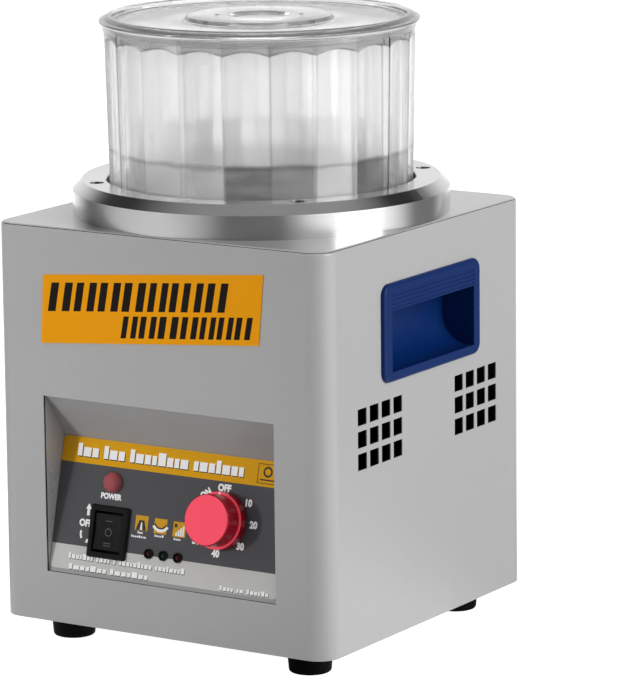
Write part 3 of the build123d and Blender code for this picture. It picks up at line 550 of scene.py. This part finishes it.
def lettering(name, legends, place, low, high, material):
    """Control legends as one piece: each is (text, letter height, middle, turn in degrees)."""
    capital_share, weight, narrow = 0.73, 0.075, 0.9
    gathered = bmesh.new()
    for text, tall, (x, y), turn in legends:
        curve = bpy.data.curves.new("legend", "FONT")
        curve.body = text
        curve.size = tall / capital_share * MM
        curve.offset = weight * tall * MM
        curve.space_character = 1.02
        curve.extrude = (high - low) / 2 * MM
        curve.align_x = "CENTER"
        curve.align_y = "CENTER"
        curve.resolution_u = 4
        holder = bpy.data.objects.new("legend", curve)
        scene.collection.objects.link(holder)
        bpy.context.view_layer.update()
        flat = bpy.data.meshes.new_from_object(holder)
        middle = Matrix.Translation((x * MM, y * MM, (low + high) / 2 * MM))
        condensed = Matrix.Rotation(radians(turn), 4, "Z") @ Matrix.Diagonal((narrow, 1, 1, 1))
        flat.transform(place @ middle @ condensed)
        gathered.from_mesh(flat)
        bpy.data.objects.remove(holder)
        bpy.data.curves.remove(curve)
        bpy.data.meshes.remove(flat)
    bmesh.ops.remove_doubles(gathered, verts=gathered.verts, dist=0.001 * MM)
    mesh = bpy.data.meshes.new(name)
    gathered.to_mesh(mesh)
    gathered.free()
    add_piece(name, mesh, material, "cabinet")


def rectangle(x, y, width, height, slant=0.0):
    """A rectangle by its lower left corner; slant moves its top edge to the right."""
    return [(x, y), (x + width, y), (x + width + slant, y + height), (x + slant, y + height)]


def ring_sector(x, y, inner, outer, start, end, steps=14):
    """Part of a flat ring, from one angle to another in degrees."""
    turns = [radians(start + (end - start) * step / steps) for step in range(steps + 1)]
    outside = [(x + outer * cos(turn), y + outer * sin(turn)) for turn in turns]
    inside = [(x + inner * cos(turn), y + inner * sin(turn)) for turn in reversed(turns)]
    return outside + inside


# ---- bowl -----------------------------------------------------------------------------------------------


def wall_radius(z):
    return OUTER_FOOT + (OUTER_TOP - OUTER_FOOT) * (z - BOWL_FOOT) / (SHOULDER - BOWL_FOOT)


def wall_point(z):
    return (wall_radius(z), z)


def flute_angles(steps=20):
    """Angles round the bowl, closer together at the ridges between the flutes."""
    angles = []
    half = pi / FLUTES
    for flute in range(FLUTES):
        middle = FLUTE_PHASE + (2 * flute + 1) * half
        for step in range(steps):
            share = -1 + 2 * step / steps
            angles.append(middle + half * (0.55 * share + 0.45 * sin(share * pi / 2)))
    return angles


def fluted_radius(radius, z, angle):
    """The bowl's outside: hollow flutes with an arched top, cut into a slightly conical wall."""
    wall = wall_radius(z)
    if abs(radius - wall) > 0.01 or z > SHOULDER - 0.6:
        return radius
    half = pi / FLUTES
    local = (angle - FLUTE_PHASE) % (2 * half) - half
    reach = wall - FLUTE_DEPTH + FLUTE_CUT_R
    hollow = reach * cos(local) - sqrt(FLUTE_CUT_R**2 - (reach * sin(local)) ** 2)
    arch = FLUTE_SPRING + (FLUTE_ARCH - FLUTE_SPRING) * (1 - (local / half) ** 2)
    open_share = min(1.0, max(0.0, (arch + 0.3 - z) / 0.9))
    open_share = open_share * open_share * (3 - 2 * open_share)
    return wall + (min(wall, hollow) - wall) * open_share


arch_rows = [wall_point(FLUTE_SPRING - 1.3 + 0.25 * step) for step in range(22)]
bowl_outside = [
    (0, BOWL_FOOT),
    (OUTER_FOOT - 1.2, BOWL_FOOT),
    wall_point(BOWL_FOOT + 0.9),
    wall_point(BOWL_FOOT + 8),
    wall_point(BOWL_FOOT + 54.5),
    wall_point(BOWL_FOOT + 94.5),
    *arch_rows,
    wall_point(SHOULDER - 0.9),
    wall_point(SHOULDER - 0.4),
    (OUTER_TOP - 0.3, SHOULDER),
    (NECK + 0.2, SHOULDER + 0.1),
    (NECK, SHOULDER + 0.5),
    (NECK, RIM - 0.8),
    (NECK - 0.5, RIM - 0.15),
    (NECK - 1, RIM),
]
bowl_inside = rounded(
    [
        ((INNER + 1.5, RIM), 0),
        ((INNER, RIM), 0.8),
        ((INNER, FLOOR), 6),
        ((CONE_R, FLOOR), 3),
        ((1.2, FLOOR + CONE_H - 0.3), 2),
        ((0, FLOOR + CONE_H), 0),
    ]
)
bowl_path = bowl_outside + bowl_inside
bowl = revolve("bowl_clear", bowl_path, flute_angles(), fluted_plastic(), "bowl", fluted_radius)
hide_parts("bowl")

# ---- lid ------------------------------------------------------------------------------------------------

lid_path = rounded(
    [
        ((0, LID_UNDER), 0),
        ((BOSS_R - 2, LID_UNDER + 1.5), 1),
        ((BOSS_R + 2, LID_UNDER), 1),
        ((PLUG_R, LID_UNDER), 0.6),
        ((PLUG_R, PLUG_FOOT), 0.6),
        ((PLUG_R + 2, PLUG_FOOT), 0.6),
        ((INNER - 1, RIM), 0.5),
        ((SKIRT_R - 1.9, RIM), 0.4),
        ((SKIRT_R - 1.9, SKIRT_FOOT), 0.3),
        ((SKIRT_R, SKIRT_FOOT), 0.4),
        ((SKIRT_R + 0.2, RIM + 0.4), 0.4),
        ((TIP_R, LID_TOP - 4.2), 0.4),
        ((TIP_R, LID_TOP - 2.8), 0.6),
        ((TIP_R - 5.4, LID_TOP), 0.8),
        ((TIP_R - 8, LID_TOP), 0.6),
        ((TIP_R - 9, LID_PANEL), 0.6),
        ((BOSS_R + 1, LID_PANEL), 0.6),
        ((BOSS_R, LID_PANEL + BOSS_RISE), 0.6),
        ((DISH_R, LID_PANEL + BOSS_RISE), 0.7),
        ((DISH_R - 1.5, LID_PANEL + DISH_RISE), 0.7),
        ((0, LID_PANEL + DISH_RISE), 0),
    ]
)
LID_STEPS = 288
lid_angles = [2 * pi * step / LID_STEPS for step in range(LID_STEPS)]
lid = revolve("lid_clear", lid_path, lid_angles, lid_plastic(), "lid")
bore_material = finish("drilled_edge", srgb(60, 60, 60), 0.6, vary=0.15, patch=300)


def drill_vent(turn):
    """One of the lid's small holes, at a turn in degrees round it."""
    place = Vector((cos(radians(turn)) * VENT_REACH, sin(radians(turn)) * VENT_REACH, LID_PANEL))
    bpy.ops.mesh.primitive_cylinder_add(vertices=32, radius=VENT_R * MM, depth=20 * MM, location=place * MM)
    drill = bpy.context.object
    drill.data.materials.append(bore_material)
    cut = lid.modifiers.new("vent", "BOOLEAN")
    cut.operation = "DIFFERENCE"
    cut.object = drill
    cut.material_mode = "TRANSFER"
    with bpy.context.temp_override(object=lid, active_object=lid, selected_objects=[lid]):
        bpy.ops.object.modifier_apply(modifier=cut.name)
    bpy.data.objects.remove(drill)


for turn in VENT_TURNS:
    drill_vent(turn)
lid.data.set_sharp_from_angle(angle=SHARP_ANGLE)
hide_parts("lid")

# ---- prints on the panel --------------------------------------------------------------------------------

# Painted light: the white print glows faintly, though it is no lamp
WHITE_PAINTED_GLOW = {"Emission_Color": grey(1), "Emission_Strength": 0.22}
white_print = finish("print_white", srgb(240, 240, 238), 0.5, 0.04, 120, 0.05, 1800, **WHITE_PAINTED_GLOW)
yellow_print = finish("print_yellow", srgb(240, 178, 30), 0.5, 0.06, 150, grain=1800)
dark_print = finish("print_dark", srgb(58, 50, 44), 0.42, 0.08, 150, grain=1800)
INK_LOW, INK_HIGH = OVERLAY_T - 0.02, OVERLAY_T + 0.05
SECOND_INK, THIRD_INK = INK_HIGH + 0.03, INK_HIGH + 0.05

legends = [
    ("OFF", 4.4, (39.2, 67.4), 0),
    ("10", 4.4, (58.0, 59.9), 0),
    ("20", 4.4, (63.6, 46.6), 0),
    ("30", 4.4, (55.6, 32.2), 0),
    ("40", 4.4, (37.9, 25.6), 0),
    ("50", 4.4, (22.3, 32.0), 0),
    ("ON", 4.2, (25.8, 62.5), 38),
    ("POWER", 3.6, (-45.7, 52.4), 0),
    ("OFF", 4.4, (-62.8, 33.4), 0),
]
lettering("dial_legends", legends, PANEL, INK_LOW, INK_HIGH, white_print)


def block_line(x, y, widths, tall, gap=0.75, word_gap=2.2):
    """A line of small upright blocks in place of words, which aren't reproduced. A 0 in widths is a space."""
    outlines = []
    for index, width in enumerate(widths):
        if width:
            rise = tall if index % 4 == 0 else 0.72 * tall
            outlines.append(rectangle(x, y, width, rise))
            x += width + gap
        else:
            x += word_gap
    return outlines


def words(*lengths, wide):
    """Block widths of a line of words with these numbers of blocks, slightly uneven."""
    widths = []
    for length in lengths:
        widths += [wide * (1 + 0.25 * ((index * 5) % 3 - 1)) for index in range(length)] + [0]
    return widths


small_print = block_line(-73, 9.8, words(7, 4, 1, 9, 8, wide=2.1), 3.6)
small_print += block_line(-72, 3.0, words(7, 7, wide=3.3), 3.6, gap=1.1)
small_print += block_line(44, 3.4, words(4, 2, 6, wide=2.0), 3.0)
for x, y, count in ((-20.2, 31.6, 3), (-21, 28.9, 8), (-5.6, 31.0, 5), (8.4, 30.6, 4)):
    small_print += block_line(x - count * 1.45 / 2, y, words(count, wide=1.0), 1.5, gap=0.45)
# The arrows that show which way the disc turns for each end of the rocker
small_print += [
    rectangle(-62.6, 38.6, 2.0, 4.2),
    [(-63.8, 42.8), (-59.4, 42.8), (-61.6, 46.4)],
    ring_sector(-60.5, 26.6, 4.6, 6.0, 160, 215),
    ring_sector(-60.5, 24.6, 1.2, 3.6, 250, 330),
]
on_light_band = [outline for outline in small_print if outline[0][1] < LIGHT_BAND_TOP]
shaded = [[(x + 0.45, y - 0.45) for x, y in outline] for outline in on_light_band]
plates("small_print_shade", shaded, PANEL, INK_LOW, INK_HIGH - 0.02, dark_print)
plates("panel_small_print", small_print, PANEL, INK_LOW, INK_HIGH, white_print)

# The word in the yellow band is a row of blocks too, white over a dark shadow
banner = words(3, 3, 8, 7, wide=4.6)
banner_print = block_line(-75.0, 76.0, banner, 8.2, gap=1.1, word_gap=3.2)
shadow_print = [[(x + 0.6, y - 0.6) for x, y in outline] for outline in banner_print]
# The badge: a frame round a plain ring over a bar
BADGE_X, BADGE_Y, BADGE_W, BADGE_H, BADGE_LINE = 62.5, 73.4, 15.0, 12.6, 0.45
upright = BADGE_H - 2 * BADGE_LINE
shadow_print += [
    rectangle(BADGE_X, BADGE_Y, BADGE_W, BADGE_LINE),
    rectangle(BADGE_X, BADGE_Y + BADGE_H - BADGE_LINE, BADGE_W, BADGE_LINE),
    rectangle(BADGE_X, BADGE_Y + BADGE_LINE, BADGE_LINE, upright),
    rectangle(BADGE_X + BADGE_W - BADGE_LINE, BADGE_Y + BADGE_LINE, BADGE_LINE, upright),
    rectangle(BADGE_X + 2, BADGE_Y + 2, BADGE_W - 4, 2 * BADGE_LINE),
    ring_sector(BADGE_X + BADGE_W / 2, BADGE_Y + 7.6, 2.2, 3.5, 0, 358),
]
plates("banner_shadow", shadow_print, PANEL, INK_LOW, INK_HIGH, dark_print)
plates("banner_blocks", banner_print, PANEL, INK_LOW, SECOND_INK, white_print)

# Three icons: a road, a smile and rising bars
ICON = 9.6
icon_places = ((-20.0, 38.4), (-5.4, 38.0), (9.0, 37.6))
squares = [rectangle(x - ICON / 2, y - ICON / 2, ICON, ICON) for x, y in icon_places]
(x1, y1), (x2, y2), (x3, y3) = icon_places
icon_dark = [
    [(x1 - 4.2, y1 - 4.6), (x1 + 3.9, y1 - 4.6), (x1 + 1.9, y1 + 1.8), (x1 - 1.9, y1 + 1.8)],
    ring_sector(x2, y2 + 3.2, 4.2, 5.4, 205, 335),
    rectangle(x3 - 3.9, y3 + 1.2, 2.2, 2.2),
]
icon_white = [
    [(x1 - 0.9, y1 - 4.4), (x1 + 0.9, y1 - 4.4), (x1 + 0.35, y1 + 0.6), (x1 - 0.35, y1 + 0.6)],
    ring_sector(x2, y2 + 3.6, 5.6, 7.4, 214, 326),
    *[rectangle(x3 - 2.6 + 1.7 * step, y3 - 4.2, 1.15, 2.2 + 1.5 * step) for step in range(4)],
]
plates("icon_squares", squares, PANEL, INK_LOW, INK_HIGH, yellow_print)
plates("icon_shapes_dark", icon_dark, PANEL, INK_LOW, SECOND_INK, dark_print)
plates("icon_shapes_white", icon_white, PANEL, INK_LOW, THIRD_INK, white_print)

# ---- prints on the front label ----------------------------------------------------------------------------


def stroke_row(x, y, tall, cells, slant, stroke=0.36, gap=0.16):
    """A row of slanted strokes, two to a cell and one to a narrow cell."""
    outlines = []
    for width in cells:
        inked = width * (1 - gap)
        if width < 12:
            outlines.append(rectangle(x + 1.6, y, inked - 3.2, tall, slant))
        else:
            bar = inked * stroke
            outlines.append(rectangle(x, y, bar, tall, slant))
            outlines.append(rectangle(x + inked - bar, y, bar, tall, slant))
        x += width
    return outlines


black_print = finish("print_black", srgb(26, 20, 18), 0.5, 0.12, 90, 0.05, 1500, Specular_IOR_Level=0.12)
strokes = stroke_row(4.5, 20.8, 18.6, (20, 18.5, 18.5, 19.5, 16.5, 17, 10, 18), 2.4)
strokes += stroke_row(61.5, 3.6, 14.2, (13.5, 14.5, 17, 14.5, 13, 13.2, 14), 1.9)
plates("label_strokes", strokes, LABEL, -0.02, 0.05, black_print)

# ---- finishes for the CAD nodes but the hidden bowl and lid -----------------------------------------------

METAL = {"Metallic": 1.0}
DULL_METAL = {"Metallic": 0.9}
SOFT_GLOSS = {"Specular_IOR_Level": 0.2}
LED_GLOSS = {"Specular_IOR_Level": 0.25}
# Painted light: the front label's film glows faintly orange, though it is no lamp
LABEL_PAINTED_GLOW = {"Emission_Color": srgb(255, 168, 10), "Emission_Strength": 0.12}
PAINT = srgb(195, 195, 195)

red_led = finish("led_red", srgb(58, 6, 12), 0.4, 0.1, 200, 0.03, 2000, **LED_GLOSS)
groups = (
    (paint("enamel_grey", PAINT, shade_depth=0.6), "housing"),
    # Painted shade: the recess takes the cabinet's enamel, 15% darker
    (paint("enamel_recess", scaled(PAINT, 0.85), 0.3), "control_recess"),
    (banded_overlay(), "panel_overlay"),
    (knob_plastic(), "timer_knob"),
    (paddle_plastic(), "switch_paddle"),
    (white_print, "knob_pointer"),
    (red_led, "status_led_left status_led_right"),
    (finish("led_green", srgb(6, 40, 32), 0.4, 0.1, 200, 0.03, 2000, **LED_GLOSS), "status_led_middle"),
    (finish("lamp_red", srgb(176, 88, 95), 0.45, 0.12, 120, 0.05, 2000, Specular_IOR_Level=0.3), "lamp_lens"),
    (finish("label_film", srgb(248, 164, 0), 0.5, 0.03, 10, 0.05, 1300, 0.002, **SOFT_GLOSS, **LABEL_PAINTED_GLOW),
     "front_label"),
    (finish("handle_plastic", srgb(2, 42, 104), 0.42, 0.05, 14, 0.05, 1100, 0.014, **SOFT_GLOSS),
     "handle_left handle_right"),
    (finish("rubber", srgb(8, 8, 8), 0.6, 0.15, 35, 0.08, 700, 0.02, Specular_IOR_Level=0.08), "feet"),
    (turned_metal("turned_aluminium", srgb(208, 208, 209), 0.2), "collar_ring"),
    (turned_metal("ground_steel", srgb(178, 178, 180), 0.25),
     "motor_shaft timer_shaft motor_bearings motor_pillars"),
    (turned_metal("turned_disc", srgb(190, 192, 194), 0.35), "rotor_disc rotor_hub"),
    (finish("black_oxide", srgb(26, 26, 28), 0.34, 0.15, 60, 0.08, 1500, 0.003, Metallic=0.6),
     "collar_screws hub_screws hub_grub_screw knob_grub_screw motor_bolts pillar_screws"),
    (finish("zinc_plate", srgb(176, 178, 180), 0.32, 0.08, 40, 0.08, 1200, 0.003, **METAL),
     "base_plate base_screws foot_screws inlet_screws m5_nuts capacitor_clamp motor_plate timer_nut"
     " terminal_screws"),
    (finish("cast_aluminium", srgb(150, 152, 154), 0.5, 0.1, 30, 0.1, 700, 0.05, **METAL),
     "motor_bell_lower motor_bell_upper"),
    (finish("magnet_nickel", srgb(200, 196, 186), 0.2, 0.05, 50, 0.05, 1500, 0.002, **METAL),
     "magnets_north magnets_south"),
    (finish("steel_laminations", srgb(120, 118, 116), 0.45, 0.12, 40, 0.1, 900, 0.02, **DULL_METAL),
     "motor_armature motor_stator"),
    (finish("enamelled_copper", srgb(172, 84, 40), 0.3, 0.15, 60, 0.08, 1400, 0.05, **DULL_METAL),
     "motor_windings"),
    (finish("brass", srgb(196, 164, 92), 0.3, 0.08, 50, 0.08, 1500, 0.003, **METAL),
     "inlet_pins switch_terminals"),
    (finish("cream_plastic", srgb(222, 214, 190), 0.45, 0.04, 30, 0.06, 900, 0.01),
     "capacitor terminal_block"),
    (finish("fan_plastic", srgb(60, 62, 66), 0.5, 0.08, 30, 0.06, 900, 0.01), "cooling_fan"),
    (finish("satin_black", srgb(20, 20, 21), 0.5, 0.1, 30, 0.05, 1300, 0.012, **SOFT_GLOSS),
     "switch_body led_clips"),
    (finish("black_plastic", srgb(30, 30, 31), 0.38, 0.1, 30, 0.06, 1300, 0.012),
     "lamp_body lamp_nut timer_body mains_inlet fuse_holder fuse_nut fuse_cap"),
    (finish("fuse_glass", srgb(200, 214, 210), 0.08, 0.03, 60, 0.02, 900, Transmission_Weight=0.8), "fuse"),
)
for material, names in groups:
    for name in names.split():
        slots = nodes[name].data.materials
        slots.clear()
        slots.append(material)

# ---- floor, world, lights and camera ----------------------------------------------------------------------

# White screens round the studio: direction, brightness, and the cosines where each begins and is full
SCREENS = (
    ((-0.53, 0.848, 0.0), 0.95, 0.55, 0.93),
    ((-0.6, -0.79, 0.1), 0.62, 0.6, 1.02),
    ((0.98, 0.0, 0.2), 1.05, 0.66, 0.95),
    ((0.0, 0.0, 1.0), 0.36, 0.7, 0.95),
)
DIM = 0.022
BACKDROP = 1.05
FLOOR_GLOW = 0.97
FLOOR_HALF = 12.0


def screen_light(tree, direction):
    """How bright the studio is in a direction."""
    level = DIM
    for middle, bright, start, full in SCREENS:
        share = tree.smooth(tree.dot(direction, middle), start, full, bright)
        level = tree.math("ADD", share, level)
    return level


def studio_floor():
    """Pale paper. The camera sees it nearly white, and polished metal sees the screens shining on it."""
    tree = material_tree("floor_paper")
    where = tree.coords()
    tree.set(
        Base_Color=tree.mix(tree.noise(where, 3.0, 3.0), grey(0.38), grey(0.42)),
        Roughness=tree.spread(tree.noise(where, 40, 3.0), 0.75, 0.85),
    )
    path = tree.add("ShaderNodeLightPath").outputs
    outward = tree.add("ShaderNodeVectorMath", {0: where}, operation="NORMALIZE").outputs[0]
    mirrored = tree.math("SUBTRACT", path["Is Glossy Ray"], path["Is Transmission Ray"], clamp=True)
    shine = tree.times(screen_light(tree, outward), mirrored)
    seen = tree.math("MAXIMUM", path["Is Camera Ray"], path["Is Transmission Ray"])
    strength = tree.math("ADD", tree.times(seen, FLOOR_GLOW), shine)
    glow = tree.add("ShaderNodeEmission", {"Strength": strength})
    tree.show(tree.add("ShaderNodeAddShader", {0: tree.shader.outputs[0], 1: glow.outputs[0]}))
    return tree.owner


def studio_world():
    """The room round the object, lit by the screens. The camera sees plain white, also through the bowl."""
    tree = Tree(bpy.data.worlds.new("studio"))
    direction = tree.add("ShaderNodeTexCoord").outputs["Generated"]
    lit = tree.nodes["Background"]
    tree.link(screen_light(tree, direction), lit.inputs[0])
    plain = tree.add("ShaderNodeBackground", {"Color": grey(BACKDROP)})
    path = tree.add("ShaderNodeLightPath").outputs
    seen = tree.math("MAXIMUM", path["Is Camera Ray"], path["Is Transmission Ray"])
    tree.show(tree.add("ShaderNodeMixShader", {0: seen, 1: lit.outputs[0], 2: plain.outputs[0]}))
    return tree.owner


def area_light(name, position, target, size, power, mirrored=True):
    """A soft light that points at a target. Metal and gloss show it only if it is mirrored."""
    data = bpy.data.lights.new(name, "AREA")
    data.shape = "RECTANGLE"
    data.size, data.size_y = size
    data.energy = power
    lamp = bpy.data.objects.new(name, data)
    lamp.location = position
    lamp.rotation_euler = (Vector(target) - Vector(position)).to_track_quat("-Z", "Y").to_euler()
    lamp.visible_camera = False
    lamp.visible_glossy = mirrored
    scene.collection.objects.link(lamp)


corners = [(x * FLOOR_HALF, y * FLOOR_HALF, 0) for x, y in ((-1, -1), (1, -1), (1, 1), (-1, 1))]
mesh_object("floor", corners, [(0, 1, 2, 3)], studio_floor())
scene.world = studio_world()
area_light("key_flash", (-0.61, -1.01, 0.30), (0, -0.1, 0.12), (0.11, 0.11), 3.3, mirrored=False)
area_light("key_soft", (-0.75, -0.85, 1.05), (0, 0, 0.2), (0.4, 0.4), 1.3, mirrored=False)
area_light("fill_right", (2.0, 0.1, 0.9), (0, 0, 0.2), (1.2, 1.4), 24)
area_light("top_soft", (-0.9, 1.6, 1.6), (0, 0, 0.3), (1.2, 1.2), 9, mirrored=False)

AZIMUTH, ELEVATION, ROLL = radians(32.149), radians(11.241), radians(-0.596)
AIM, DISTANCE = Vector((0.0472, -0.0058, 0.1924)), 2.854
camera_data = bpy.data.cameras.new("camera")
camera_data.lens = 232.5
camera_data.sensor_width = 36.0
camera_data.clip_end = 60
camera = bpy.data.objects.new("camera", camera_data)
scene.collection.objects.link(camera)
back = Vector((sin(AZIMUTH) * cos(ELEVATION), -cos(AZIMUTH) * cos(ELEVATION), sin(ELEVATION)))
level_x = Vector((cos(AZIMUTH), sin(AZIMUTH), 0))
level_y = back.cross(level_x)
camera_x = cos(ROLL) * level_x + sin(ROLL) * level_y
camera_y = cos(ROLL) * level_y - sin(ROLL) * level_x
placed = Matrix((camera_x, camera_y, back)).transposed().to_4x4()
placed.translation = AIM + DISTANCE * back
camera.matrix_world = placed
scene.camera = camera

scene.view_settings.view_transform = "Standard"
scene.view_settings.look = "None"

bpy.context.view_layer.update()
